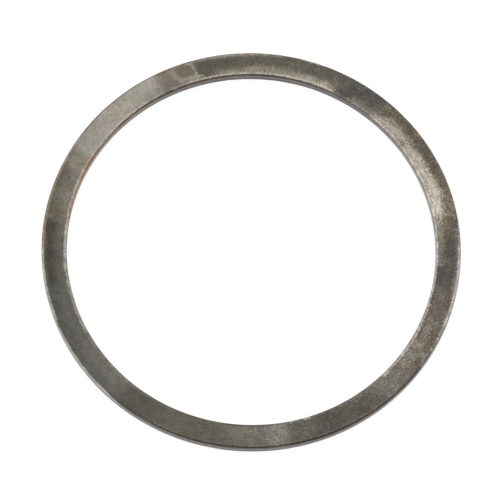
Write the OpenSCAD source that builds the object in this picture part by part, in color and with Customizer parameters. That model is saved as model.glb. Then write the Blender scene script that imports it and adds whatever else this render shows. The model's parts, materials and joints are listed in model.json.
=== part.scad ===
// Flat ring washer: one steel ring of rectangular section, turned, with its four edges rounded over.
// The ring lies on its lower face. The origin is on the axis, in the plane of that face.

/* [Ring] */
// Diameter of the bore
bore_d = 44; // [20:0.5:120]
// Width of the flat ring, from the bore wall to the rim
ring_w = 3; // [2:0.1:12]
// Thickness between the two faces
ring_t = 1.5; // [1.2:0.1:6]

/* [Edges] */
// Radius that rounds both edges of the bore
bore_edge_r = 0.4; // [0.1:0.05:0.55]
// Radius that rounds both edges of the rim
rim_edge_r = 0.4; // [0.1:0.05:0.55]

/* [Hidden] */
$fn = 96;
bore_r = bore_d / 2;
rim_r = bore_r + ring_w;

// One end of the section: a straight wall at wall_r, rounded into both faces.
// The end reaches from the wall to the centres of its corner arcs; side is 1 where the wall faces the
// axis, and -1 where it faces away from it.
module rounded_wall(wall_r, edge_r, side) {
    arc_r = wall_r + side * edge_r;
    translate([min(wall_r, arc_r), edge_r])
        square([edge_r, ring_t - 2 * edge_r]);
    for (z = [edge_r, ring_t - edge_r])
        translate([arc_r, z])
            circle(r = edge_r);
}

// Section of the ring in the plane through its axis: X is the radius, Y the height.
module ring_section() {
    translate([bore_r + bore_edge_r, 0])
        square([ring_w - bore_edge_r - rim_edge_r, ring_t]);
    rounded_wall(bore_r, bore_edge_r, 1);
    rounded_wall(rim_r, rim_edge_r, -1);
}

// The whole washer: its section turned once about the axis.
module washer() {
    color("dimgray")
        rotate_extrude(convexity = 4)
            ring_section();
}

washer();
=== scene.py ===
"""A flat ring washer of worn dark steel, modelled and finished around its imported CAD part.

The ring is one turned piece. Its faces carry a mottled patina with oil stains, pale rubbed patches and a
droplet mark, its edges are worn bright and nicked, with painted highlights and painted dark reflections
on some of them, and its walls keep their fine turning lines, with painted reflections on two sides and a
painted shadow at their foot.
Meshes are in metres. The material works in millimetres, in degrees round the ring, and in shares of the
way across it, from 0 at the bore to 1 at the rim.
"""

import json
import math
import random
from typing import NamedTuple

import bmesh
import bpy
from mathutils import Matrix, Vector, noise


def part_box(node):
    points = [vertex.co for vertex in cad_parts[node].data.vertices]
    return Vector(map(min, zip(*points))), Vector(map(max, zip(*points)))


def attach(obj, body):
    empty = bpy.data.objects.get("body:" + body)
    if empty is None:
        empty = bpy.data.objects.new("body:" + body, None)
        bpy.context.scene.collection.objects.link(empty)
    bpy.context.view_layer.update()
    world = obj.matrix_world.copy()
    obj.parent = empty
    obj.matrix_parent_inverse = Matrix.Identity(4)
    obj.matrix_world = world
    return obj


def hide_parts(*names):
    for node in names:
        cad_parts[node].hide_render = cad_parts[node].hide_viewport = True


bl_info = {
    "name": "Worn Steel Ring Washer",
    "version": (1, 0, 0),
    "blender": (4, 5, 0),
    "location": "3D View > Sidebar > Washer",
    "description": "Makes a turned steel ring with a worn patina, and the stage that it lies on",
    "category": "Object",
}

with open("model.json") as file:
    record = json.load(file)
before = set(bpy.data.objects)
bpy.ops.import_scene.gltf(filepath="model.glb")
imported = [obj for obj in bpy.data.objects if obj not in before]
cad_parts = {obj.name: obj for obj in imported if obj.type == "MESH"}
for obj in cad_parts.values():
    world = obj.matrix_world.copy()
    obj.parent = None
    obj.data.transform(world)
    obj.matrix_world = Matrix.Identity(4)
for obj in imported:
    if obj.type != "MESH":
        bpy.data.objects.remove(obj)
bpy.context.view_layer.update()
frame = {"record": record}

NODE = "washer"
RING_LOW, RING_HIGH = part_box(NODE)
BORE_MOUNT = next(m for m in frame["record"]["mounts"] if m["name"] == "bore")

# Sizes of the ring. The bore is straight between its two rounded edges.
MM = 0.001
RIM_RADIUS = round(RING_HIGH.x, 5)
THICKNESS = round(RING_HIGH.z - RING_LOW.z, 5)
BORE_RADIUS = BORE_MOUNT["dims"]["r_mm"] * MM
UPPER_EDGE = (THICKNESS - BORE_MOUNT["dims"]["length_mm"] * MM) / 2
LOWER_EDGE = 0.25 * MM

# Cuts in the straight parts of the section, and how near points are when they are merged
FACE_CUTS = 9
WALL_CUTS = 3
MERGE = 0.001 * MM

# The skin is laid out flat as one strip for each quarter of the ring. A strip keeps this share of its width
# free, and half this share of its length.
QUARTERS = 4
MAP_GAP = 0.04

# Size of the patches of edge wear, and how far they spread, from -1 for none to 1 for all round
WEAR_PATCH = 1.3 * MM
WEAR_SPREAD = 0.35

# How far a nick reaches from the middle of its edge, and the small nicks' sizes in millimetres
NICK_REACH = 0.35 * MM
SMALL_NICK_LENGTHS = (0.15, 0.6)
SMALL_NICK_DEPTHS = (0.008, 0.035)

# How far the lower face's stains are turned from the upper face's, in degrees
LOWER_TURN = 137.0

# Sizes of the patches of noise in the steel, in millimetres
SPECKLE_SIZE = 0.17
CLOT_SIZE = 0.8
CLOUD_SIZE = 2.6
TINGE_SIZE = 0.9

# How far the outlines of the face's stains are moved about, in millimetres, and the waves in a millimetre
RAGGED_WAVES = {"Shift": 0.7, "Fineness": 0.9}

# Contrast of the noise. Of two numbers, the second is always there, and the first comes with the grain.
FINE_CONTRAST = 1.25
COARSE_CONTRAST = (0.38, 0.06)
BROAD_CONTRAST = 0.5
WARM_DRIFT = (0.12, 0.15)
GREEN_DRIFT = 0.09

# How far speckle and clots move the borders of the stains about, for each millimetre of ragged
BORDER_SPECKLE = 0.25
BORDER_CLOTS = 0.15

# How bare the bright edges are: the second number, and up to the first one more with the clots
WORN_SHARE = (0.35, 0.65)

# How high the clots stand, for each unit of the speckle's height
CLOT_RELIEF = 0.8

# The walls: their grain, how far their turning lines are drawn out, and how dark and light those are
WALL_GRAIN = 0.4
LINE_STRETCH = (0.12, 0.12, 9.0)
LINE_LEVELS = (0.72, 1.08)

# A painted contact shadow darkens the walls from this share of the thickness down to this share of the edge
# radius, and to this level
FOOT_TOP = 0.78
FOOT_END = 0.9
FOOT_SHADOW = 0.15

# Roughness. On the faces it is the second number, and up to the first one more with the speckle.
FACE_ROUGH = (0.12, 0.38)
WALL_ROUGH = 0.25
WORN_ROUGH = 0.27

# The floor: its white, and the faint white and the glow that it has where it is seen straight on
FLOOR_WHITE = (0.85, 0.85, 0.85)
FLOOR_FAINT = (0.13, 0.13, 0.13)
FLOOR_GLOW = 0.92

# Which way the tent is open, as seen from above, and where that opening fades in at its sides, top and foot
OPEN_WAY = (0.26, -0.966)
OPEN_SIDES = (0.4, 0.6)
OPEN_TOP = (0.9, 0.74)
OPEN_FOOT = (0.15, 0.4)

# The picture's width, the rim's radius in it, and how far its middle is from the axis, all in its pixels
PICTURE_PIXELS = 500
RIM_PIXELS = 209.4
AIM_PIXELS = (-1.17, 1.87)


def length_setting(name, description, default):
    """A setting in metres."""
    return bpy.props.FloatProperty(name=name, description=description, default=default, unit="LENGTH")


def angle_setting(name, description, degrees):
    """A setting that is an angle."""
    default = math.radians(degrees)
    return bpy.props.FloatProperty(name=name, description=description, default=default, subtype="ANGLE")


def amount_setting(name, description, default, subtype="NONE"):
    """A setting that is a brightness or a strength."""
    return bpy.props.FloatProperty(
        name=name, description=description, default=default, subtype=subtype, min=0
    )


def count_setting(name, description, default, least=0):
    """A setting that is a whole number."""
    return bpy.props.IntProperty(name=name, description=description, default=default, min=least)


def colour_setting(name, description, default):
    """A setting that is a colour."""
    return bpy.props.FloatVectorProperty(
        name=name, description=description, default=default, subtype="COLOR", min=0, max=1
    )


class WasherRing(bpy.types.PropertyGroup):
    """Sizes of the ring and how finely it is turned."""

    rim_radius: length_setting("Rim Radius", "From the axis to the rim wall", RIM_RADIUS)
    bore_radius: length_setting("Bore Radius", "From the axis to the bore wall", BORE_RADIUS)
    thickness: length_setting("Thickness", "Between the two faces", THICKNESS)
    upper_edge: length_setting("Upper Edge Radius", "Rounds the two edges of the upper face", UPPER_EDGE)
    lower_edge: length_setting("Lower Edge Radius", "Rounds the two edges of the lower face", LOWER_EDGE)
    edge_steps: count_setting("Edge Steps", "Faces round each rounded edge", 8, least=2)
    turn_steps: count_setting("Turn Steps", "Faces round the whole ring", 1440, least=48)
    edge_wear: length_setting("Edge Wear", "How deep the rounded edges are rubbed, at most", 0.02 * MM)
    small_nicks: count_setting("Small Nicks", "Number of small scattered nicks in the edges", 70)
    nick_seed: count_setting("Nick Seed", "Sets where the small nicks lie", 11)


class WasherSteel(bpy.types.PropertyGroup):
    """Colours and strengths of the finish."""

    bare_steel: colour_setting("Bare Steel", "Where the edges are rubbed bright", (0.50, 0.465, 0.415))
    patina: colour_setting("Patina", "The dull grey that covers most of the ring", (0.125, 0.120, 0.104))
    wall_patina: colour_setting("Wall Patina", "The walls of the bore and the rim", (0.165, 0.142, 0.124))
    grain: amount_setting("Grain", "Strength of the fine speckle", 1.0, subtype="FACTOR")


class WasherStudio(bpy.types.PropertyGroup):
    """The floor, the light and the camera."""

    camera_elevation: angle_setting("Camera Elevation", "Height of the camera above the horizon", 70.7)
    camera_roll: angle_setting("Camera Roll", "Turn of the camera about its own line of sight", 3.2)
    camera_distance: length_setting("Camera Distance", "From the camera to the ring", 0.65)
    floor_size: length_setting("Floor Size", "Width of the square floor", 3.0)
    tent_light: amount_setting("Tent Light", "Brightness of the white tent round the ring", 1.08)
    open_front: amount_setting("Open Front", "Brightness of the tent's open front", 0.03)


class Nodes:
    """Adds nodes to one tree. Values given to a node are linked if they are sockets, and set if not."""

    def __init__(self, tree):
        self.tree = tree

    def add(self, kind, values=None, **settings):
        """A new node with these settings and these values at its inputs."""
        node = self.tree.nodes.new(kind)
        for name, setting in settings.items():
            setattr(node, name, setting)
        for name, value in (values or {}).items():
            self.feed(node.inputs[name], value)
        return node

    def feed(self, socket, value):
        """Gives an input its value."""
        if isinstance(value, bpy.types.NodeSocket):
            self.tree.links.new(value, socket)
        elif socket.type == "RGBA" and len(value) == 3:
            socket.default_value = (*value, 1)
        else:
            socket.default_value = value

    def calc(self, operation, *values):
        """One Math node's result."""
        node = self.add("ShaderNodeMath", operation=operation)
        for socket, value in zip(node.inputs, values):
            self.feed(socket, value)
        return node.outputs[0]

    def fade(self, value, start, end, low=0.0, high=1.0):
        """Goes smoothly from low to high as the value goes from start to end."""
        names = {"Value": value, "From Min": start, "From Max": end, "To Min": low, "To Max": high}
        return self.add("ShaderNodeMapRange", names, interpolation_type="SMOOTHSTEP").outputs[0]

    def mix(self, share, first, second, blend="MIX"):
        """A colour between two."""
        node = self.add("ShaderNodeMix", data_type="RGBA", blend_type=blend)
        for index, value in ((0, share), (6, first), (7, second)):
            self.feed(node.inputs[index], value)
        return node.outputs[2]

    def between(self, share, first, second):
        """A number between two."""
        node = self.add("ShaderNodeMix", data_type="FLOAT")
        for index, value in ((0, share), (2, first), (3, second)):
            self.feed(node.inputs[index], value)
        return node.outputs[0]

    def swing(self, value, strength):
        """From minus half the strength to plus half of it, as the value goes from 0 to 1."""
        return self.calc("MULTIPLY", self.calc("SUBTRACT", value, 0.5), strength)

    def diagonal(self, one, other):
        """Length of the diagonal over two sides."""
        squares = [self.calc("MULTIPLY", side, side) for side in (one, other)]
        return self.calc("SQRT", self.calc("ADD", *squares))

    def split(self, vector):
        """The three numbers of a vector."""
        return self.add("ShaderNodeSeparateXYZ", {"Vector": vector}).outputs

    def join(self, x, y, z=0.0):
        """A vector of three numbers."""
        return self.add("ShaderNodeCombineXYZ", {"X": x, "Y": y, "Z": z}).outputs[0]

    def mottle(self, point, size, detail=2.0, rough=0.5, coloured=False):
        """Noise with patches about size millimetres across, or three such noises as one colour."""
        values = {"Vector": point, "Scale": 1 / size, "Detail": detail, "Roughness": rough}
        factor, colours = self.add("ShaderNodeTexNoise", values).outputs
        return colours if coloured else factor

    def streaks(self, flat, brushing):
        """Noise drawn out along the lean of a brushing."""
        turned = {
            "Vector": flat,
            "Rotation": (0, 0, math.radians(brushing.lean)),
            "Scale": (brushing.length, brushing.width, 1),
        }
        spot = self.add("ShaderNodeMapping", turned, vector_type="TEXTURE").outputs[0]
        return self.mottle(spot, 1.0)

    def group(self, tree, values, label=""):
        """The outputs of a node group."""
        return self.add("ShaderNodeGroup", values, node_tree=tree, label=label).outputs


def new_group(name, inputs, outputs):
    """An empty node group with these named sockets, as its Nodes, its inputs and a way to set its outputs."""
    tree = bpy.data.node_groups.new(name, "ShaderNodeTree")
    for direction, sockets in (("INPUT", inputs), ("OUTPUT", outputs)):
        for socket_name, kind in sockets.items():
            tree.interface.new_socket(name=socket_name, in_out=direction, socket_type="NodeSocket" + kind)
    nodes = Nodes(tree)
    given = nodes.add("NodeGroupInput").outputs
    result = nodes.add("NodeGroupOutput").inputs
    return nodes, given, lambda name, value: nodes.feed(result[name], value)


def nodes_of(block):
    """The node tree of a new material or world."""
    block.use_nodes = True
    return Nodes(block.node_tree)


class Section(NamedTuple):
    """The ring's section, in metres. Its upper half has one edge radius, and its lower half another."""

    bore: float
    rim: float
    thick: float
    upper_edge: float
    lower_edge: float

    @property
    def middle(self):
        return (self.bore + self.rim) / 2

    @property
    def outline(self):
        return 2 * (self.quarter(0) + self.quarter(self.thick))

    def edge(self, height):
        """Radius of the rounded edges of this half."""
        return self.upper_edge if height > self.thick / 2 else self.lower_edge

    def half_face(self, height):
        """From the middle of this half's face to where its rounded edge starts."""
        return (self.rim - self.bore) / 2 - self.edge(height)

    def half_wall(self, height):
        """From the middle of a wall to where this half's rounded edge starts."""
        return self.thick / 2 - self.edge(height)

    def quarter(self, height):
        """Length along the section from the middle of this half's face to the middle of a wall."""
        return self.half_face(height) + self.edge(height) * math.pi / 2 + self.half_wall(height)

    def edge_centre(self, radius, height):
        """Centre of the rounded edge nearest to a point of the section."""
        out = math.copysign(self.half_face(height), radius - self.middle)
        up = math.copysign(self.half_wall(height), height - self.thick / 2)
        return self.middle + out, self.thick / 2 + up

    def from_edge(self, radius, height):
        """How far a point is from the middle of the nearest rounded edge."""
        corner = self.edge(height) * (1 - math.sqrt(0.5))
        wall_radius = self.rim - corner if radius > self.middle else self.bore + corner
        face_height = self.thick - corner if height > self.thick / 2 else corner
        return math.hypot(radius - wall_radius, height - face_height)

    def rounding(self, radius, height):
        """1 in the middle of a rounded edge, and 0 where it ends and beyond."""
        beyond = abs(radius - self.middle) > self.half_face(height)
        above = abs(height - self.thick / 2) > self.half_wall(height)
        if not (beyond and above):
            return 0
        centre_radius, centre_height = self.edge_centre(radius, height)
        return math.sin(2 * math.atan2(abs(height - centre_height), abs(radius - centre_radius)))

    def way_round(self, radius, height):
        """Length along the section from the middle of the lower face, by way of the rim, to a point on it."""
        side, rise = abs(radius - self.middle), abs(height - self.thick / 2)
        past_face, past_wall = side - self.half_face(height), rise - self.half_wall(height)
        if past_face <= 0:
            along = side
        elif past_wall <= 0:
            along = self.quarter(height) - rise
        else:
            along = self.half_face(height) + self.edge(height) * math.atan2(past_face, past_wall)
        if height < self.thick / 2:
            return along if radius >= self.middle else self.outline - along
        return self.outline / 2 + (-along if radius >= self.middle else along)


class Nick(NamedTuple):
    """A small dent in a rounded edge: where it is, how long along the edge and how deep, in millimetres."""

    angle: float
    on_rim: bool
    length: float
    depth: float
    upper: bool = True

    def dent(self, angle, radius):
        """How deep it is at an angle, in metres."""
        away = (angle - self.angle + 180) % 360 - 180
        share = abs(math.radians(away)) * radius / (self.length / 2 * MM)
        return self.depth * MM * max(0, 1 - share * share)


NICKS = (
    Nick(angle=73.6, on_rim=False, length=0.5, depth=0.04),
    Nick(angle=73, on_rim=True, length=0.7, depth=0.06),
    Nick(angle=76.5, on_rim=True, length=1, depth=0.05),
    Nick(angle=45.5, on_rim=True, length=0.5, depth=0.05),
    Nick(angle=285.2, on_rim=False, length=0.6, depth=0.07),
    Nick(angle=287, on_rim=False, length=0.4, depth=0.06),
    Nick(angle=289.8, on_rim=False, length=0.7, depth=0.09),
    Nick(angle=325, on_rim=False, length=0.7, depth=0.05),
    Nick(angle=341, on_rim=True, length=1.1, depth=0.06),
    Nick(angle=268.5, on_rim=True, length=0.6, depth=0.05),
    Nick(angle=173, on_rim=False, length=0.8, depth=0.06),
    Nick(angle=193.5, on_rim=False, length=0.9, depth=0.04),
    Nick(angle=230.2, on_rim=False, length=0.9, depth=0.04),
    Nick(angle=221, on_rim=True, length=0.9, depth=0.07, upper=False),
    Nick(angle=118, on_rim=True, length=0.6, depth=0.06, upper=False),
    Nick(angle=38, on_rim=False, length=0.7, depth=0.06, upper=False),
)


class Stain(NamedTuple):
    """A patch of another colour.

    It is centred at an angle, in degrees, and at a share of the way across, and reaches so far from there
    each way: reach is in degrees, and width a share of the way across. Slant leans it forward by so many
    degrees from the bore to the rim. Its border is soft over so many millimetres, and moves in and out by
    about ragged. Square goes from 0, for round ends, to 1. Strength is how much of the colour it brings,
    and grain how much speckle it has.
    The way across goes on over the rounded edges. On the upper face 45 degrees round them is at 0.03 and
    0.97, the walls start at -0.08 and 1.08, and their middles are at -0.19 and 1.19.
    """

    what: str
    colour: tuple | None
    angle: float
    reach: float
    across: float = 0.5
    width: float = 2.0
    slant: float = 0.0
    soft: float = 0.3
    ragged: float = 0.3
    square: float = 0.0
    strength: float = 1.0
    grain: float = 0.5


def patch(what, *place, **border):
    """A stain without a colour, of which only the shape and the strength are used."""
    return Stain(what, None, *place, **border)


def shade(*levels):
    """A colour of display levels from 0 to 255, as linear light."""
    return tuple(((v / 255 + 0.055) / 1.055) ** 2.4 for v in levels)


LINE_DARK = shade(48, 45, 41)
OIL_DARK = shade(73, 71, 64)
DARK_SPOT = shade(78, 72, 64)
BLUE_BLACK = shade(86, 84, 79)
DUSK_GREY = shade(92, 89, 82)
OLIVE_DARK = shade(93, 89, 79)
GREEN_GREY = shade(97, 97, 92)
OLIVE = shade(99, 95, 85)
BROWN = shade(103, 96, 85)
DROPLET = shade(111, 104, 93)
MID_GREY = shade(120, 115, 105)
RUST_DARK = shade(112, 74, 54)
RUST_BROWN = shade(142, 96, 62)
OCHRE_DARK = shade(112, 96, 70)
TAN = shade(150, 132, 108)
WARM_GREY = shade(146, 138, 126)
WARM_PALE = shade(164, 155, 143)
PALE_GREY = shade(157, 152, 142)
RUBBED = shade(177, 168, 154)
CREAM = shade(188, 180, 167)

# Stains of the faces, each laid over the ones before it
FACE_STAINS = (
    # Broad fields, right round the ring
    Stain("brown field", BROWN, 32, 21, soft=0.7, ragged=1.2, grain=1),
    Stain("olive field", OLIVE, 87.3, 22.3, soft=0.15, ragged=0.2, grain=0.52),
    Stain("dark grey field", BLUE_BLACK, 58.6, 6.8, slant=-2, soft=1.3, ragged=0.9, grain=0.7),
    Stain("grey-brown field at the right", DUSK_GREY, 1, 9.5, slant=7, soft=0.9, ragged=1.6, grain=0.8),
    Stain("field under the droplet", MID_GREY, 115.6, 6.3, slant=2.2, soft=0.12, ragged=0.15, grain=0.4),
    Stain("field after the rubbed one", MID_GREY, 165, 11.5, slant=-6, soft=1.6),
    Stain("rubbed grey field", PALE_GREY, 137.2, 16.4, slant=-2, soft=1.1, ragged=0.6, square=1, grain=0.35),
    Stain("oily field", GREEN_GREY, 184, 13, soft=2),
    Stain("green-grey field", GREEN_GREY, 214, 21, soft=2.5, grain=0.4),
    Stain("dim field", DUSK_GREY, 241, 10, soft=1.8, grain=0.4),
    Stain("brown-grey field", OLIVE, 257, 9, slant=2, soft=1.4, grain=0.45),
    Stain("lighter grey field", shade(118, 114, 106), 275.5, 8.5, soft=1.6, grain=0.65),
    Stain("grey near the front", shade(102, 98, 90), 287.5, 5, soft=1.5, grain=0.6),
    Stain("shadowy field", DUSK_GREY, 297, 6.5, slant=-2, soft=1.6, grain=0.6),
    Stain("mottled grey-brown field", OLIVE, 308, 5.5, soft=1.4, grain=0.9),
    Stain("light mottled field", MID_GREY, 318.5, 6, soft=1.6, grain=0.65),
    Stain("mottled brown field", BROWN, 337, 14, soft=1.6, grain=0.85),
    Stain("dark grey blotch at the right", BLUE_BLACK, 353.4, 3.1, 0.4, 0.45, slant=-5, soft=0.9, ragged=0.8,
          grain=0.55),
    # Haze and shade along the edges
    Stain("haze by the bore, right", WARM_GREY, 2.8, 5.7, 0.1, 0.24, soft=0.4, ragged=0.8, strength=0.42,
          grain=0.85),
    Stain("haze by the bore, far right", WARM_GREY, 54.5, 6.5, 0.08, 0.24, soft=0.5, ragged=0.8,
          strength=0.42, grain=0.8),
    Stain("haze before the far side", WARM_GREY, 66.5, 2.5, 0.45, 0.35, soft=0.9, strength=0.15),
    Stain("haze by the bore, far left", WARM_GREY, 113, 5, 0.08, 0.1, strength=0.6),
    Stain("haze by the rim, right", WARM_GREY, 355, 14, 0.93, 0.12, soft=0.4, ragged=0.6, strength=0.5,
          grain=0.9),
    Stain("haze by the rim, far", WARM_GREY, 101, 8, 0.96, 0.12, soft=0.4, strength=0.5),
    Stain("lighter middle of the rubbed field", shade(167, 161, 151), 137, 4.5, 0.4, 0.4, soft=1,
          strength=0.5),
    Stain("shade on the rubbed field", MID_GREY, 146.5, 7.5, 0.95, 0.3, soft=0.7, strength=0.3),
    Stain("dimmer end of the rubbed field", MID_GREY, 151, 3, soft=1, strength=0.12),
    Stain("shade by the rim, left", DUSK_GREY, 168, 11, 0.9, 0.33, soft=0.9, strength=0.6),
    Stain("light by the bore, left", WARM_GREY, 168, 12, 0.1, 0.25, soft=0.6, strength=0.3),
    Stain("shade in the middle, left", DUSK_GREY, 163, 3, soft=1.2, strength=0.25),
    Stain("warm haze on the left", TAN, 170.5, 4, 0.35, 0.4, soft=1.2, strength=0.16),
    Stain("olive haze on the left", OCHRE_DARK, 176.5, 4, soft=1.2, strength=0.17),
    Stain("olive haze by the near left bore", OCHRE_DARK, 202, 9, 0.1, 0.2, soft=0.6, strength=0.17),
    Stain("shade by the rim, near left", BLUE_BLACK, 206, 13, 0.9, 0.25, soft=0.8, strength=0.75),
    Stain("light by the bore, near left", MID_GREY, 222.5, 10, 0.25, 0.35, soft=1, strength=0.5),
    Stain("shade by the rim, near", DUSK_GREY, 270, 9, 0.88, 0.3, soft=0.8, strength=0.5),
    Stain("shade by the rim, near right", DUSK_GREY, 312, 3, 0.75, 0.3, soft=0.8, strength=0.6),
    # The rubbed patch and what lies beside it
    Stain("haze before the rubbed patch", WARM_GREY, 9.9, 4.1, -0.05, 0.36, soft=0.6, ragged=1.5,
          strength=0.75, grain=0.65),
    Stain("brown mottles before the patch", TAN, 9, 3.5, 0.35, 0.18, soft=0.4, ragged=1.8, strength=0.15,
          grain=0.8),
    Stain("rubbed patch, start", WARM_PALE, 14.5, 3, 0, 0.6, soft=0.5, ragged=1.6, strength=0.6, grain=0.8),
    Stain("rubbed patch, middle", RUBBED, 30.7, 9.3, 0, 0.46, soft=0.5, ragged=1.4, grain=0.65),
    Stain("rubbed patch, broad part", RUBBED, 22.3, 4.4, 0, 0.6, soft=0.55, ragged=1.4, square=0.5,
          grain=0.65),
    Stain("rubbed patch, end", CREAM, 18.1, 4.3, 0, 0.52, soft=0.5, ragged=1.4, square=0.4, grain=0.75),
    Stain("rubbed patch, its brightest", shade(199, 192, 180), 18.5, 3.2, 0.13, 0.1, soft=0.35, ragged=0.5,
          strength=0.5, grain=0.6),
    Stain("rubbed patch, bump", WARM_PALE, 42.6, 2.3, 0.25, 0.28, slant=-5, soft=0.4, ragged=1.4,
          strength=0.9, grain=0.65),
    Stain("rubbed patch, tail", WARM_PALE, 46.5, 7, -0.1, 0.5, slant=-5, soft=0.55, ragged=1.4, grain=0.75),
    Stain("dark mottles in the patch", BROWN, 16.5, 3, 0.6, 0.06, soft=0.2, ragged=1.4, strength=0.2,
          grain=1),
    Stain("tan mottles", shade(140, 126, 106), 17, 5, 0.85, 0.14, ragged=1.8, strength=0.4, grain=1.2),
    Stain("cream spot", CREAM, 13.6, 0.4, 0.55, 0.03, soft=0.1, ragged=0.1, strength=0.8),
    Stain("dark dot", DARK_SPOT, 18.5, 0.2, 0.33, 0.03, soft=0.1, ragged=0, strength=0.8),
    Stain("rusty mottle", RUST_BROWN, 39.6, 1.5, 0.84, 0.1, ragged=1.2, strength=0.2, grain=1.2),
    Stain("dark wedge", DARK_SPOT, 43.5, 2.6, 0.82, 0.1, slant=9, ragged=0.7, strength=0.35),
    Stain("tan spots", TAN, 50, 1.4, 0.8, 0.08, ragged=1.2, strength=0.3, grain=1),
    Stain("dark brown spot", DARK_SPOT, 31, 4, 0.75, 0.1, soft=0.4, ragged=1, strength=0.4),
    Stain("dark blotch", DARK_SPOT, 4, 3, 0.62, 0.25, soft=0.7, ragged=0.8, strength=0.45),
    # The far side
    Stain("pale grain on the bore side", WARM_PALE, 73.5, 7.5, -0.3, 0.66, soft=0.6, ragged=1.1,
          strength=0.9),
    Stain("pale grain further on", WARM_GREY, 87, 10, -0.3, 0.68, soft=0.7, ragged=0.9, strength=0.95,
          grain=0.4),
    Stain("pale grain, fading", WARM_GREY, 97.5, 8.5, -0.3, 0.6, soft=0.7, ragged=0.9, strength=0.8,
          grain=0.4),
    Stain("dark curved mark", DARK_SPOT, 74.6, 0.3, 0.5, 0.12, slant=4, soft=0.15, strength=0.6),
    Stain("darkest olive", OLIVE_DARK, 103.5, 6.5, 0.62, 0.2, soft=0.6, ragged=0.6),
    Stain("pale border of the droplet", WARM_GREY, 113, 3.5, 0.66, 0.36, slant=2.4, soft=0.12, ragged=0.15,
          square=0.3, strength=0.45, grain=0.4),
    Stain("pale streak beside the droplet", WARM_PALE, 110.1, 0.4, 0.55, 0.3, slant=2.6, soft=0.12,
          ragged=0.15, strength=0.4),
    Stain("pale foot of the droplet", WARM_PALE, 111.6, 4, 0.25, 0.07, soft=0.15, strength=0.65),
    Stain("pale side of the droplet", WARM_PALE, 116.1, 0.6, 0.55, 0.25, slant=1.5, soft=0.2, ragged=0.2,
          strength=0.35),
    Stain("droplet", DROPLET, 112.8, 2.2, 0.64, 0.26, slant=2.4, soft=0.1, ragged=0.15, square=0.45,
          strength=0.95, grain=0.4),
    Stain("band after the droplet", MID_GREY, 118.5, 1.7, slant=1.5, soft=0.6, ragged=0.4, grain=0.4),
    Stain("dark streak in the band", BROWN, 118.1, 0.5, 0.65, 0.25, slant=2, soft=0.35, ragged=0.4,
          strength=0.35),
    # The left side
    Stain("dim haze by the bore", MID_GREY, 126.5, 6, 0.2, 0.25, soft=0.6, strength=0.25),
    Stain("brown mottles by the rim", BROWN, 152, 3, 0.88, 0.12, soft=0.4, ragged=1.2, strength=0.3),
    Stain("tan haze", shade(150, 138, 122), 156.3, 2.3, 0.4, 0.32, soft=0.7, ragged=0.8, strength=0.55),
    Stain("leaning tan line", shade(152, 122, 92), 154.2, 0.45, 0.28, 0.22, slant=-4.5, soft=0.26, ragged=0.5,
          strength=0.6),
    Stain("oil by the rim", OIL_DARK, 185, 9.7, 0.68, 0.24, soft=0.55, ragged=0.6),
    Stain("leaning tan streak", shade(132, 115, 84), 174.2, 0.55, 0.8, 0.14, slant=6, soft=0.28, ragged=0.5,
          strength=0.75),
    Stain("dark spot below the streak", OIL_DARK, 175.6, 0.7, 0.8, 0.1, slant=3, soft=0.25, strength=0.8),
    Stain("dim middle", DUSK_GREY, 184.5, 8, 0.4, 0.14, soft=0.6, strength=0.7),
    Stain("olive band by the rim", shade(110, 101, 77), 189, 9, 0.88, 0.04, soft=0.2, strength=0.6),
    # The near side
    Stain("dark dot near the front", DARK_SPOT, 261.5, 0.25, 0.25, 0.03, soft=0.12, strength=0.7),
    Stain("speckled light", shade(148, 143, 134), 281, 2.8, 0.45, 0.5, soft=0.8, ragged=1.4, strength=0.45,
          grain=0.9),
    Stain("grey by the rim", BLUE_BLACK, 302, 7, 0.7, 0.28, soft=0.8, ragged=0.8, strength=0.8),
    Stain("warm mottles", WARM_GREY, 328, 4.8, 0.25, 0.32, soft=0.5, ragged=1.5, strength=0.55, grain=0.85),
    Stain("warm mottles further on", WARM_GREY, 336, 5.5, 0.4, 0.2, soft=0.5, ragged=1.5, strength=0.42,
          grain=0.85),
    Stain("grey haze at the right", shade(108, 105, 99), 346.5, 4.5, 0.35, 0.5, soft=1.2, ragged=0.8,
          strength=0.4, grain=0.9),
    Stain("warm mottle in the middle", WARM_GREY, 330.4, 1.2, 0.58, 0.2, ragged=1.6, strength=0.4,
          grain=0.85),
    Stain("dark spot by the rim", DARK_SPOT, 345.3, 0.35, 0.8, 0.05, soft=0.18, strength=0.7),
    Stain("second dark spot", DARK_SPOT, 347.5, 0.4, 0.78, 0.06, soft=0.18, strength=0.7),
)

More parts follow.
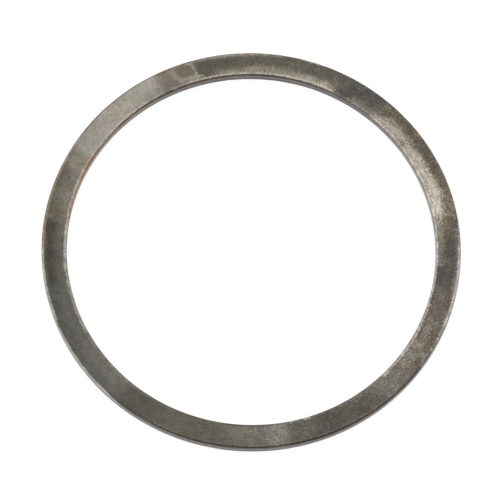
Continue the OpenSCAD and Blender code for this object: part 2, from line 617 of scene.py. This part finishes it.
# Where the edges are rubbed bright. Strength is how far.
BARE_EDGES = (
    patch("bore edge, right", 356, 13, 0.03, 0.055, soft=0.1, ragged=0.15),
    patch("bore edge, by the rubbed patch", 24, 16, 0.05, 0.045, soft=0.09, ragged=0.1),
    patch("bore edge, further right", 45, 8, 0.055, 0.045, soft=0.1, ragged=0.2, strength=0.8),
    patch("bore edge, near right", 331, 14, 0.07, 0.06, soft=0.1, ragged=0.5, strength=0.8),
    patch("bore edge, far right", 59, 9, 0.07, 0.035, soft=0.1, ragged=0.2, strength=0.35),
    patch("bore edge, beyond it", 75, 8, 0.075, 0.065, soft=0.12, ragged=0.15),
    patch("bore edge, far", 89, 10, 0.08, 0.05, soft=0.12, ragged=0.15, strength=0.8),
    patch("bore edge, far left", 104, 10, 0.065, 0.06, soft=0.12, ragged=0.15, strength=0.95),
    patch("bore edge, by the droplet", 119, 9, 0.065, 0.045, soft=0.12, ragged=0.15, strength=0.5),
    patch("bore edge, rubbed field", 146, 19, 0.09, 0.05, soft=0.1, ragged=0.15, strength=0.65),
    patch("bore edge, left", 174, 13, 0.05, 0.055, soft=0.12, ragged=0.2, strength=0.95),
    patch("bore edge, near left", 198, 14, 0.06, 0.075, soft=0.12, ragged=0.4, strength=0.5),
    patch("bore edge, its near end", 224, 14, 0.09, 0.05, soft=0.12, ragged=0.6, strength=0.15),
    patch("bore edge, first nick near the front", 285.5, 0.8, 0.07, 0.04, soft=0.1, strength=0.6),
    patch("bore edge, second nick near the front", 290.3, 1.1, 0.07, 0.05, soft=0.1, strength=0.7),
    patch("rim edge, right", 352, 12, 0.95, 0.06, soft=0.1, strength=0.85),
    patch("rim edge, where it starts", 337, 5, 0.95, 0.05, soft=0.1, ragged=0.5, strength=0.45),
    patch("rim edge, bright nick", 341, 1, 0.94, 0.04, soft=0.1),
    patch("rim edge, its end", 7, 3.5, 0.96, 0.04, soft=0.15, ragged=0.6, strength=0.4),
    patch("rim edge, nicks", 76, 2.2, 0.95, 0.04, soft=0.1, ragged=0.4, strength=0.6),
    patch("rim edge, far", 98, 14, 0.91, 0.05, soft=0.15, ragged=0.25, strength=0.35),
    patch("rim edge, upper left", 164, 17, 0.97, 0.04, soft=0.12, ragged=0.2, strength=0.35),
    patch("rim edge, left", 193, 12, 0.97, 0.05, soft=0.12, ragged=0.2, strength=0.9),
    patch("rim edge, near left", 216, 18, 1.03, 0.065, slant=60, soft=0.12, ragged=0.2),
)

# Stains of the edges and the walls, each laid over the ones before it. Some of them are painted highlights,
# painted dark reflections and painted reflections.
EDGE_STAINS = (
    # Painted highlights: these two bright lines lie on worn bare edges, painted brighter than bare steel.
    Stain("painted highlight on the worn bore edge", CREAM, 31, 13, 0.065, 0.02, soft=0.07, ragged=0.15, strength=0.7),
    Stain("painted highlight on the worn far bore edge", shade(215, 208, 195), 105, 13, 0.055, 0.02, soft=0.08,
          ragged=0.1, strength=0.8),
    # Painted dark reflections: these edges face the tent's open front, and the dark lines stand in for it.
    Stain("painted dark reflection on the far bore edge", LINE_DARK, 103, 36, 0.014, 0.022, soft=0.07, ragged=0.1,
          strength=0.85),
    Stain("painted dark reflection on the near rim edge", LINE_DARK, 285, 40, 0.978, 0.022, soft=0.07, ragged=0.1,
          strength=0.72),
    Stain("groove by the bore edge", BROWN, 31, 23, 0.125, 0.014, soft=0.06, ragged=0.15, strength=0.45,
          grain=0.8),
    Stain("haze by the near left bore edge", WARM_GREY, 240, 9, 0.1, 0.03, soft=0.12, ragged=0.4,
          strength=0.2),
    Stain("haze by the near right bore edge", WARM_GREY, 301, 18, 0.09, 0.03, soft=0.12, ragged=0.4,
          strength=0.35),
    Stain("haze by the near rim edge", WARM_GREY, 281, 36, 0.92, 0.03, soft=0.12, ragged=0.2, strength=0.4),
    Stain("haze by the near right rim edge", WARM_GREY, 331, 4, 0.9, 0.05, soft=0.12, ragged=0.4,
          strength=0.4),
    Stain("dark line on the far rim edge", DARK_SPOT, 129, 20, 0.975, 0.04, soft=0.1, ragged=0.1,
          strength=0.8),
    Stain("dim line on the far rim edge", DARK_SPOT, 88, 32, 0.99, 0.035, soft=0.1, ragged=0.2, strength=0.7),
    Stain("dark outline on the left rim edge", DARK_SPOT, 165, 19, 1.03, 0.05, soft=0.12, strength=0.7),
    Stain("dark outline on the left bore edge", DARK_SPOT, 170, 28, -0.06, 0.05, soft=0.12, strength=0.6),
    Stain("dark line on the near bore edge", LINE_DARK, 272, 8, 0.05, 0.04, soft=0.1, ragged=0.2,
          strength=0.6),
    # Painted reflections: these walls are made lighter where they face the bright sides of the tent.
    Stain("painted reflection on the left wall", shade(150, 146, 137), 212, 22, 1.15, 0.12, soft=0.2, strength=0.85,
          grain=0.3),
    Stain("painted reflection on the right wall", shade(140, 136, 128), 12, 32, -0.15, 0.12, soft=0.2, strength=0.7,
          grain=0.3),
    Stain("rust under the bore edge", RUST_BROWN, 160, 12, 0, 0.07, soft=0.12, strength=0.6),
    Stain("strong rust under the bore edge", RUST_BROWN, 154.5, 5.5, 0.01, 0.05, soft=0.1, strength=0.5),
    Stain("last rust under the bore edge", RUST_BROWN, 172, 2, 0.01, 0.05, soft=0.1, strength=0.6),
    Stain("dark rust under the bore edge", RUST_DARK, 124, 24, 0, 0.035, soft=0.1, ragged=0.2, strength=0.55),
    Stain("rusty haze on the bore wall", TAN, 150, 26, -0.1, 0.1, soft=0.2, strength=0.25, grain=0.4),
    Stain("ochre on the rim edge", TAN, 168, 13, 0.93, 0.05, soft=0.12, ragged=0.2, strength=0.6),
    Stain("rust on the rim edge", RUST_BROWN, 27, 13, 0.97, 0.03, soft=0.12, ragged=0.4, strength=0.27),
    Stain("shade on the near right rim wall", DARK_SPOT, 308, 19, 1.12, 0.14, soft=0.2, strength=0.8,
          grain=0.3),
    Stain("rust on the rim wall", RUST_DARK, 309, 10, 1.07, 0.08, soft=0.15, strength=0.28),
    Stain("scrape over the bore edge", CREAM, 73.6, 0.35, 0.02, 0.05, slant=-8, soft=0.08, strength=0.7),
)


class Brushing(NamedTuple):
    """Fine parallel streaks over a patch.

    They lean by so many degrees from the way round the ring, and are so long and so wide, in millimetres.
    """

    where: Stain
    lean: float
    length: float
    width: float


BRUSHINGS = (
    Brushing(patch("rubbed patch", 21, 9, 0.2, 0.26, soft=0.5, strength=0.6), 3, 2.2, 0.12),
    Brushing(patch("rubbed patch, tail", 40, 10, 0.25, 0.3, soft=0.5, strength=0.4), 8, 1.4, 0.14),
    Brushing(patch("far bore side", 86, 22, 0.1, 0.38, soft=0.6, strength=0.4), 75, 0.7, 0.16),
    Brushing(patch("far side", 80, 14, 0.7, 0.3, soft=0.6, strength=0.25), 40, 0.8, 0.2),
    Brushing(patch("rubbed grey field", 142, 17, soft=1, strength=0.14), -35, 1.2, 0.15),
    Brushing(patch("left side", 172, 14, soft=1.5, strength=0.16), 20, 0.9, 0.16),
    Brushing(patch("left bore edge", 168, 12, 0.05, 0.05, soft=0.15, strength=0.6), 12, 0.9, 0.1),
    Brushing(patch("near the front", 283, 9, soft=1, strength=0.25), 50, 1.4, 0.16),
    Brushing(patch("near right", 309, 14, soft=1, strength=0.25), -30, 0.8, 0.16),
    Brushing(patch("warm mottles", 331, 10, 0.35, 0.4, soft=0.6, strength=0.25), 25, 0.9, 0.16),
)


def run(edge, axis):
    """How far an edge reaches along one axis."""
    one, other = edge.verts
    return abs(getattr(one.co, axis) - getattr(other.co, axis))


def build_ring_mesh(ring):
    """Turns the rounded section a quarter turn, lays its skin out flat, and copies it round the axis."""
    section = Section(ring.bore_radius, ring.rim_radius, ring.thickness, ring.upper_edge, ring.lower_edge)
    bm = bmesh.new()
    bmesh.ops.create_grid(bm, x_segments=1, y_segments=1, size=0.5)
    bmesh.ops.scale(bm, vec=(section.rim - section.bore, section.thick, 1), verts=bm.verts)
    bmesh.ops.rotate(bm, cent=(0, 0, 0), matrix=Matrix.Rotation(math.pi / 2, 3, "X"), verts=bm.verts)
    bmesh.ops.translate(bm, vec=(section.middle, 0, section.thick / 2), verts=bm.verts)
    corners = bm.verts[:]
    for height, radius in ((0, section.lower_edge), (section.thick, section.upper_edge)):
        bmesh.ops.bevel(
            bm,
            geom=[v for v in corners if v.is_valid and abs(v.co.z - height) < section.thick / 2],
            offset=radius,
            offset_type="OFFSET",
            affect="VERTICES",
            segments=ring.edge_steps,
            profile=0.5,
            material=-1,
        )
    bmesh.ops.delete(bm, geom=bm.faces[:], context="FACES_ONLY")
    for axis, cuts in (("x", FACE_CUTS), ("z", WALL_CUTS)):
        # The parts of a rounded edge are all shorter than this
        straight = [e for e in bm.edges if run(e, axis) > section.thick / 3]
        bmesh.ops.subdivide_edges(bm, edges=straight, cuts=cuts)
    bmesh.ops.spin(
        bm,
        geom=bm.verts[:] + bm.edges[:],
        cent=(0, 0, 0),
        axis=(0, 0, 1),
        angle=math.pi / 2,
        steps=ring.turn_steps // QUARTERS,
        use_merge=False,
    )
    layer = unroll_quarter(bm, section)
    quarter = bm.verts[:] + bm.edges[:] + bm.faces[:]
    for number in range(1, QUARTERS):
        copied = bmesh.ops.duplicate(bm, geom=quarter)["geom"]
        verts = [g for g in copied if isinstance(g, bmesh.types.BMVert)]
        turn = Matrix.Rotation(math.pi / 2 * number, 3, "Z")
        bmesh.ops.rotate(bm, cent=(0, 0, 0), matrix=turn, verts=verts)
        for face in copied:
            if isinstance(face, bmesh.types.BMFace):
                for loop in face.loops:
                    loop[layer].uv.y += number / QUARTERS
    bmesh.ops.remove_doubles(bm, verts=bm.verts, dist=MERGE)
    bmesh.ops.recalc_face_normals(bm, faces=bm.faces[:])
    for face in bm.faces:
        face.smooth = True
    return bm, section


def unroll_quarter(bm, section):
    """Lays the quarter out flat as one straight strip. The strip fills the lowest quarter of the map."""
    layer = bm.loops.layers.uv.new("OFBake")
    for face in bm.faces:
        middle = face.calc_center_median()
        face_way = section.way_round(math.hypot(middle.x, middle.y), middle.z)
        for loop in face.loops:
            place = loop.vert.co
            along = math.atan2(place.y, place.x) / (math.pi / 2)
            way = section.way_round(math.hypot(place.x, place.y), place.z)
            way += section.outline * round((face_way - way) / section.outline)
            u = MAP_GAP / 4 + along * (1 - MAP_GAP / 2)
            v = (MAP_GAP / 2 + way / section.outline * (1 - MAP_GAP)) / QUARTERS
            loop[layer].uv = (u, v)
    return layer


def scatter_nicks(ring):
    """Small seeded nicks on all four edges."""
    draw = random.Random(ring.nick_seed)
    return [
        Nick(
            angle=draw.uniform(0, 360),
            on_rim=draw.random() < 0.5,
            upper=draw.random() < 0.5,
            length=draw.uniform(*SMALL_NICK_LENGTHS),
            depth=draw.uniform(*SMALL_NICK_DEPTHS),
        )
        for _ in range(ring.small_nicks)
    ]


def wear_ring(bm, section, ring):
    """Rubs the rounded edges unevenly and dents them. Every move is towards the inside of the ring."""
    nicks = [*NICKS, *scatter_nicks(ring)]
    for vert in bm.verts:
        place = vert.co
        radius, height = math.hypot(place.x, place.y), place.z
        on_rim, upper = radius > section.middle, height > section.thick / 2
        spread = max(0, WEAR_SPREAD + noise.noise(place / WEAR_PATCH))
        depth = ring.edge_wear * section.rounding(radius, height) * spread
        nearness = 1 - section.from_edge(radius, height) / NICK_REACH
        if nearness > 0:
            angle = math.degrees(math.atan2(place.y, place.x))
            for nick in nicks:
                if nick.on_rim == on_rim and nick.upper == upper:
                    depth += nick.dent(angle, radius) * nearness
        if depth:
            centre_radius, centre_height = section.edge_centre(radius, height)
            inward = Vector((centre_radius - radius, centre_height - height)).normalized() * depth
            along = Vector((place.x, place.y)) / radius
            vert.co += Vector((along.x * inward.x, along.y * inward.x, inward.y))


def ring_place_group():
    """Where a point is on the ring, as Stain counts it, and how far it faces up or down.

    Facing goes from 0 on a wall to 1 on a face, over the rounded edge. Flat is the place on the unrolled
    ring, in millimetres. The lower face has its angles moved on, so that its stains lie elsewhere. All four
    edges are taken to be as round as the upper ones.
    """
    sizes = {name: "Float" for name in ("Bore", "Rim", "Thickness", "Edge")}
    nodes, given, give = new_group(
        "Ring Place",
        {"Point": "Vector", **sizes},
        {"Angle": "Float", "Across": "Float", "Facing": "Float", "Flat": "Vector"},
    )
    calc = nodes.calc
    x, y, z = nodes.split(given["Point"])
    width = calc("SUBTRACT", given["Rim"], given["Bore"])
    middle = calc("MULTIPLY_ADD", width, 0.5, given["Bore"])
    outward = calc("SUBTRACT", nodes.diagonal(x, y), middle)
    half_thick = calc("MULTIPLY", given["Thickness"], 0.5)
    upward = calc("SUBTRACT", z, half_thick)
    half_face = calc("SUBTRACT", calc("MULTIPLY", width, 0.5), given["Edge"])
    half_wall = calc("SUBTRACT", half_thick, given["Edge"])
    side, rise = calc("ABSOLUTE", outward), calc("ABSOLUTE", upward)
    beyond = calc("MAXIMUM", calc("SUBTRACT", side, half_face), 0.0)
    above = calc("MAXIMUM", calc("SUBTRACT", rise, half_wall), 0.0)
    tilt = calc("ARCTAN2", beyond, above)
    way = calc("MULTIPLY_ADD", tilt, given["Edge"], calc("MINIMUM", side, half_face))
    way = calc("ADD", way, calc("SUBTRACT", half_wall, calc("MINIMUM", rise, half_wall)))
    signed = calc("MULTIPLY", calc("DIVIDE", way, width), calc("SIGN", outward))
    turned = calc("MULTIPLY", calc("ARCTAN2", y, x), 180 / math.pi)
    moved_on = calc("MULTIPLY_ADD", calc("LESS_THAN", upward, 0.0), LOWER_TURN, turned)
    angle, across = calc("WRAP", moved_on, 360.0, 0.0), calc("ADD", signed, 0.5)
    give("Angle", angle)
    give("Across", across)
    give("Facing", calc("SUBTRACT", 1.0, calc("MULTIPLY", tilt, 2 / math.pi)))
    long_way = calc("MULTIPLY", angle, calc("MULTIPLY", middle, math.radians(1)))
    give("Flat", nodes.join(long_way, calc("MULTIPLY", across, width)))
    return nodes.tree


def flat_sizes(ring):
    """Length of one degree in the middle of the ring, and the ring's width, in millimetres."""
    degree = math.radians(1) * (ring.rim_radius + ring.bore_radius) / 2 / MM
    return degree, (ring.rim_radius - ring.bore_radius) / MM


def ragged_place_group(ring):
    """Moves angles and places across about, so that a smooth outline drawn there comes out uneven."""
    nodes, given, give = new_group(
        "Ragged Place",
        {"Point": "Vector", "Angle": "Float", "Across": "Float", "Shift": "Float", "Fineness": "Float"},
        {"Angle": "Float", "Across": "Float"},
    )
    values = {"Vector": given["Point"], "Scale": given["Fineness"], "Detail": 3.0, "Roughness": 0.6}
    waves = nodes.add("ShaderNodeTexNoise", values).outputs["Color"]
    for name, wave, unit in zip(("Angle", "Across"), nodes.split(waves), flat_sizes(ring)):
        moved = nodes.swing(wave, given["Shift"])
        give(name, nodes.calc("ADD", given[name], nodes.calc("DIVIDE", moved, unit)))
    return nodes.tree


# What the stain group calls each number of a Stain's shape
STAIN_SHAPE = {
    "Middle": "angle",
    "Reach": "reach",
    "Level": "across",
    "Width": "width",
    "Slant": "slant",
    "Soft": "soft",
    "Ragged": "ragged",
    "Square": "square",
}


def stain_group(ring):
    """The mask of one stain, from 0 outside it to 1 inside, as Stain describes it."""
    floats = ("Angle", "Across", "Border", *STAIN_SHAPE)
    nodes, given, give = new_group("Stain", {name: "Float" for name in floats}, {"Mask": "Float"})
    calc = nodes.calc
    degree, ring_width = flat_sizes(ring)
    level = calc("SUBTRACT", given["Across"], given["Level"])
    ahead = calc("SUBTRACT", given["Angle"], calc("MULTIPLY_ADD", level, given["Slant"], given["Middle"]))
    away = calc("ABSOLUTE", calc("WRAP", ahead, 180.0, -180.0))
    half_long = calc("MULTIPLY", given["Reach"], degree)
    half_wide = calc("MULTIPLY", given["Width"], ring_width)
    corner = calc("MULTIPLY", calc("MINIMUM", half_long, half_wide), calc("SUBTRACT", 1.0, given["Square"]))
    past_long = calc("ADD", calc("SUBTRACT", calc("MULTIPLY", away, degree), half_long), corner)
    aside = calc("MULTIPLY", calc("ABSOLUTE", level), ring_width)
    past_wide = calc("ADD", calc("SUBTRACT", aside, half_wide), corner)
    outside = nodes.diagonal(calc("MAXIMUM", past_long, 0.0), calc("MAXIMUM", past_wide, 0.0))
    inside = calc("MINIMUM", calc("MAXIMUM", past_long, past_wide), 0.0)
    distance = calc("SUBTRACT", calc("ADD", outside, inside), corner)
    distance = calc("MULTIPLY_ADD", given["Border"], given["Ragged"], distance)
    give("Mask", nodes.fade(distance, given["Soft"], calc("MULTIPLY", given["Soft"], -1.0)))
    return nodes.tree


class Painter:
    """Lays stains over a colour, and keeps how grainy the result is."""

    def __init__(self, nodes, tree, place, border):
        self.nodes = nodes
        self.tree = tree
        self.place = place
        self.border = border

    def mask(self, stain):
        """A stain's strength inside it, and 0 outside."""
        given = {"Angle": self.place["Angle"], "Across": self.place["Across"], "Border": self.border}
        given.update((name, getattr(stain, field)) for name, field in STAIN_SHAPE.items())
        inside = self.nodes.group(self.tree, given, label=stain.what)["Mask"]
        return self.nodes.calc("MULTIPLY", inside, stain.strength)

    def paint(self, stains, colour, grain):
        """The colour and the grain, with each stain laid over them in turn."""
        for stain in stains:
            mask = self.mask(stain)
            colour = self.nodes.mix(mask, colour, stain.colour)
            grain = self.nodes.between(mask, grain, stain.grain)
        return colour, grain


def wall_light(nodes, point, ring):
    """Light and dark of the walls: the lines left by turning, and a painted shadow at their foot."""
    stretched = nodes.add("ShaderNodeMapping", {"Vector": point, "Scale": LINE_STRETCH}).outputs[0]
    lines = nodes.fade(nodes.mottle(stretched, 1.0, rough=0.7), start=0.35, end=0.6)
    top, end = ring.thickness / MM * FOOT_TOP, ring.upper_edge / MM * FOOT_END
    foot = nodes.fade(nodes.split(point)["Z"], top, end, low=1.0, high=FOOT_SHADOW)
    return nodes.calc("MULTIPLY", nodes.between(lines, *LINE_LEVELS), foot)


def drifting_tint(nodes, point, light, grain):
    """The light, drifting a little between warm and cool and towards green, more where it is grainy."""
    calc = nodes.calc
    drift = nodes.mottle(point, TINGE_SIZE, detail=4.0, rough=0.65, coloured=True)
    one, other, _ = nodes.split(drift)
    warm = nodes.swing(one, calc("MULTIPLY_ADD", grain, *WARM_DRIFT))
    red = calc("MULTIPLY", light, calc("ADD", 1.0, warm))
    green = calc("MULTIPLY", light, calc("ADD", 1.0, nodes.swing(other, GREEN_DRIFT)))
    blue = calc("MULTIPLY", light, calc("SUBTRACT", 1.0, warm))
    return nodes.join(red, green, blue)


def steel_material(ring, steel):
    """Worn dark steel: patina, stains, bright edges, rust and turning lines, and painted light and shade."""
    material = bpy.data.materials.new("worn_steel")
    nodes = nodes_of(material)
    shader = nodes.tree.nodes["Principled BSDF"]
    calc = nodes.calc
    spot = nodes.add("ShaderNodeTexCoord").outputs["Object"]
    point = nodes.add("ShaderNodeMapping", {"Vector": spot, "Scale": (1 / MM,) * 3}).outputs[0]
    sizes = {
        "Point": point,
        "Bore": ring.bore_radius / MM,
        "Rim": ring.rim_radius / MM,
        "Thickness": ring.thickness / MM,
        "Edge": ring.upper_edge / MM,
    }
    place = nodes.group(ring_place_group(), sizes)

    # Fine speckle, coarser clots and broad clouds. The first two also break up the borders of the stains.
    speckle = nodes.fade(nodes.mottle(point, SPECKLE_SIZE, rough=0.6), start=0.25, end=0.75)
    clots = nodes.fade(nodes.mottle(point, CLOT_SIZE, detail=4.0, rough=0.65), start=0.3, end=0.7)
    clouds = nodes.mottle(point, CLOUD_SIZE, detail=4.0, rough=0.55)
    spread = calc("ADD", calc("MULTIPLY", speckle, BORDER_SPECKLE), calc("MULTIPLY", clots, BORDER_CLOTS))
    border = calc("SUBTRACT", (BORDER_SPECKLE + BORDER_CLOTS) / 2, spread)
    ragged = {"Point": point, "Angle": place["Angle"], "Across": place["Across"], **RAGGED_WAVES}
    drawn = nodes.group(ragged_place_group(ring), ragged)
    stain_tree = stain_group(ring)
    painter = Painter(nodes, stain_tree, drawn, border)
    edge_painter = Painter(nodes, stain_tree, place, border)

    colour = nodes.mix(nodes.fade(clouds, start=0.35, end=0.65), steel.patina, MID_GREY)
    colour, grain = painter.paint(FACE_STAINS, colour, WALL_GRAIN)
    on_face = nodes.fade(place["Facing"], start=0.1, end=0.6)
    colour = nodes.mix(on_face, steel.wall_patina, colour)
    grain = nodes.between(on_face, WALL_GRAIN, grain)

    # Bright rubbed edges, then edge and wall stains with painted highlights and reflections
    worn = 0.0
    for rub in BARE_EDGES:
        worn = calc("MAXIMUM", worn, edge_painter.mask(rub))
    worn = calc("MULTIPLY", worn, calc("MULTIPLY_ADD", clots, *WORN_SHARE))
    colour = nodes.mix(worn, colour, steel.bare_steel)
    colour, grain = edge_painter.paint(EDGE_STAINS, colour, grain)

    # Light and dark of the grain, the brushings and the walls, with a painted shadow at the walls' foot
    grain = calc("MULTIPLY", grain, steel.grain)
    fine = nodes.swing(speckle, calc("MULTIPLY", grain, FINE_CONTRAST))
    coarse = nodes.swing(clots, calc("MULTIPLY_ADD", grain, *COARSE_CONTRAST))
    light = calc("ADD", calc("ADD", fine, coarse), nodes.swing(clouds, BROAD_CONTRAST))
    for brushing in BRUSHINGS:
        streaks = nodes.fade(nodes.streaks(place["Flat"], brushing), 0.3, 0.7, low=-0.5, high=0.5)
        light = calc("MULTIPLY_ADD", streaks, painter.mask(brushing.where), light)
    walls = nodes.between(on_face, wall_light(nodes, point, ring), 1.0)
    light = calc("MULTIPLY", calc("EXPONENT", light), walls)
    colour = nodes.mix(1.0, colour, drifting_tint(nodes, point, light, grain), blend="MULTIPLY")

    nodes.feed(shader.inputs["Base Color"], colour)
    shader.inputs["Metallic"].default_value = 1.0
    unworn = nodes.between(on_face, WALL_ROUGH, calc("MULTIPLY_ADD", speckle, *FACE_ROUGH))
    nodes.feed(shader.inputs["Roughness"], nodes.between(worn, unworn, WORN_ROUGH))
    relief = calc("ADD", speckle, calc("MULTIPLY", clots, CLOT_RELIEF))
    bump = nodes.add("ShaderNodeBump", {"Strength": 0.2, "Distance": 0.01 * MM, "Height": relief})
    nodes.feed(shader.inputs["Normal"], bump.outputs[0])
    return material


def add_piece(name, bm, material):
    """A finished shape as an object of the scene."""
    mesh = bpy.data.meshes.new(name)
    bm.to_mesh(mesh)
    bm.free()
    mesh.materials.append(material)
    piece = bpy.data.objects.new(name, mesh)
    bpy.context.scene.collection.objects.link(piece)
    return piece


class MakeRing(bpy.types.Operator):
    """Make the steel ring"""

    bl_idname = "washer.make_ring"
    bl_label = "Make Ring"

    def execute(self, context):
        ring, steel = context.scene.washer_ring, context.scene.washer_steel
        bm, section = build_ring_mesh(ring)
        wear_ring(bm, section, ring)
        piece = add_piece("steel_ring", bm, steel_material(ring, steel))
        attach(piece, "root")
        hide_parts(NODE)
        return {"FINISHED"}


def seen_straight(nodes):
    """1 where the camera, a mirror image or the view through a clear thing looks straight at a surface."""
    rays = nodes.add("ShaderNodeLightPath").outputs
    seen = nodes.calc("MAXIMUM", rays["Is Camera Ray"], rays["Is Glossy Ray"])
    return nodes.calc("MAXIMUM", seen, rays["Is Transmission Ray"])


def floor_material():
    """White. Seen straight on it glows, so that only the ring's own faint shadow is left on it."""
    material = bpy.data.materials.new("white_floor")
    nodes = nodes_of(material)
    nodes.tree.nodes.remove(nodes.tree.nodes["Principled BSDF"])
    white = nodes.add("ShaderNodeBsdfDiffuse", {"Color": FLOOR_WHITE}).outputs[0]
    faint = nodes.add("ShaderNodeBsdfDiffuse", {"Color": FLOOR_FAINT}).outputs[0]
    glow = nodes.add("ShaderNodeEmission", {"Strength": FLOOR_GLOW}).outputs[0]
    seen = nodes.add("ShaderNodeAddShader", {0: faint, 1: glow}).outputs[0]
    both = nodes.add("ShaderNodeMixShader", {0: seen_straight(nodes), 1: white, 2: seen}).outputs[0]
    from_below = nodes.add("ShaderNodeNewGeometry").outputs["Backfacing"]
    clear = nodes.add("ShaderNodeBsdfTransparent").outputs[0]
    surface = nodes.add("ShaderNodeMixShader", {0: from_below, 1: both, 2: clear}).outputs[0]
    nodes.feed(nodes.tree.nodes["Material Output"].inputs["Surface"], surface)
    return material


def make_floor(studio):
    """A square white floor."""
    bm = bmesh.new()
    bmesh.ops.create_grid(bm, x_segments=1, y_segments=1, size=studio.floor_size / 2)
    add_piece("floor", bm, floor_material())


def make_tent(studio):
    """The world: a white tent with an open, darker front, which the camera doesn't see."""
    world = bpy.data.worlds.new("tent")
    bpy.context.scene.world = world
    nodes = nodes_of(world)
    calc = nodes.calc
    x, y, z = nodes.split(nodes.add("ShaderNodeTexCoord").outputs["Generated"])
    right, away = OPEN_WAY
    frontward = nodes.fade(calc("MULTIPLY_ADD", x, right, calc("MULTIPLY", y, away)), *OPEN_SIDES)
    low = calc("MULTIPLY", nodes.fade(z, *OPEN_TOP), nodes.fade(z, *OPEN_FOOT))
    rays = nodes.add("ShaderNodeLightPath").outputs
    clear_view = calc("MAXIMUM", rays["Is Camera Ray"], rays["Is Transmission Ray"])
    opening = calc("MULTIPLY", calc("MULTIPLY", frontward, low), calc("SUBTRACT", 1.0, clear_view))
    background = nodes.tree.nodes["Background"]
    nodes.feed(background.inputs["Strength"], nodes.between(opening, studio.tent_light, studio.open_front))
    background.inputs["Color"].default_value = (1, 1, 1, 1)


def make_camera(studio):
    """The camera looks down at the ring from the front, turned a little about its own line of sight."""
    pixel = 1 / RIM_PIXELS * RIM_RADIUS
    rise, roll = studio.camera_elevation, studio.camera_roll
    back = Vector((0, -math.cos(rise), math.sin(rise)))
    right = Vector((1, 0, 0))
    up = back.cross(right)
    turned_right = math.cos(roll) * right + math.sin(roll) * up
    turned_up = math.cos(roll) * up - math.sin(roll) * right
    aim_right, aim_up = AIM_PIXELS
    aim = (aim_right * turned_right + aim_up * turned_up) * pixel
    data = bpy.data.cameras.new("camera")
    data.sensor_width = 36
    data.lens = studio.camera_distance / pixel / PICTURE_PIXELS * data.sensor_width
    data.clip_start = 0.01
    data.clip_end = 10
    camera = bpy.data.objects.new("camera", data)
    axes = Matrix((turned_right, turned_up, back)).transposed().to_4x4()
    camera.matrix_world = Matrix.Translation(aim + back * studio.camera_distance) @ axes
    bpy.context.scene.collection.objects.link(camera)
    bpy.context.scene.camera = camera


class MakeStage(bpy.types.Operator):
    """Make the floor, the light and the camera"""

    bl_idname = "washer.make_stage"
    bl_label = "Make Stage"

    def execute(self, context):
        studio = context.scene.washer_studio
        context.scene.view_settings.view_transform = "Standard"
        make_floor(studio)
        make_tent(studio)
        make_camera(studio)
        return {"FINISHED"}


class WasherPanel(bpy.types.Panel):
    """Sizes, finish and stage of the washer"""

    bl_idname = "VIEW3D_PT_washer"
    bl_label = "Washer"
    bl_space_type = "VIEW_3D"
    bl_region_type = "UI"
    bl_category = "Washer"

    def draw(self, context):
        layout = self.layout
        scene = context.scene
        for operator, settings in (
            (MakeRing, (scene.washer_ring, scene.washer_steel)),
            (MakeStage, (scene.washer_studio,)),
        ):
            box = layout.box()
            for group in settings:
                for name in group.__annotations__:
                    box.prop(group, name)
            box.operator(operator.bl_idname)


CLASSES = (WasherRing, WasherSteel, WasherStudio, MakeRing, MakeStage, WasherPanel)
SETTINGS = {"washer_ring": WasherRing, "washer_steel": WasherSteel, "washer_studio": WasherStudio}


def register():
    for cls in CLASSES:
        bpy.utils.register_class(cls)
    for name, group in SETTINGS.items():
        setattr(bpy.types.Scene, name, bpy.props.PointerProperty(type=group))


def unregister():
    for name in SETTINGS:
        delattr(bpy.types.Scene, name)
    for cls in reversed(CLASSES):
        bpy.utils.unregister_class(cls)


def main():
    """Makes the ring and its stage."""
    register()
    bpy.ops.washer.make_ring()
    bpy.ops.washer.make_stage()


if __name__ == "__main__":
    main()
